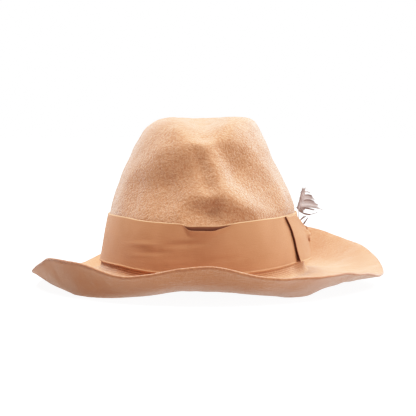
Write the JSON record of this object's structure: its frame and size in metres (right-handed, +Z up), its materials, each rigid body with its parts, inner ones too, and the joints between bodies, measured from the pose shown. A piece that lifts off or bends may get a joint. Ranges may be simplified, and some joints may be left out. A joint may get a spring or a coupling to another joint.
{
  "type": "felt fedora hat",
  "caption": "Soft felt fedora with a pinched and creased crown, a wide wavy brim, a wide ribbon band, a flat bow and a small feather.",
  "frame": {"origin": "on the surface that the hat rests on, under the middle of its outline", "axes": "+Z up; +Y towards the back of the hat, along its length; +X towards the wearer's left, where the bow and the feather are"},
  "size_m": [0.286, 0.3126, 0.1355],
  "materials": {
    "felt": "soft camel wool felt with a short nap",
    "ribbon": "matt woven ribbon in a darker camel",
    "feather": "soft grey vane with darker edges"
  },
  "bodies": {
    "root": {"felt_body": "felt", "ribbon_band": "ribbon", "bow_ribbon": "ribbon", "bow_knot": "ribbon", "feather": "feather"}
  },
  "joints": []
}
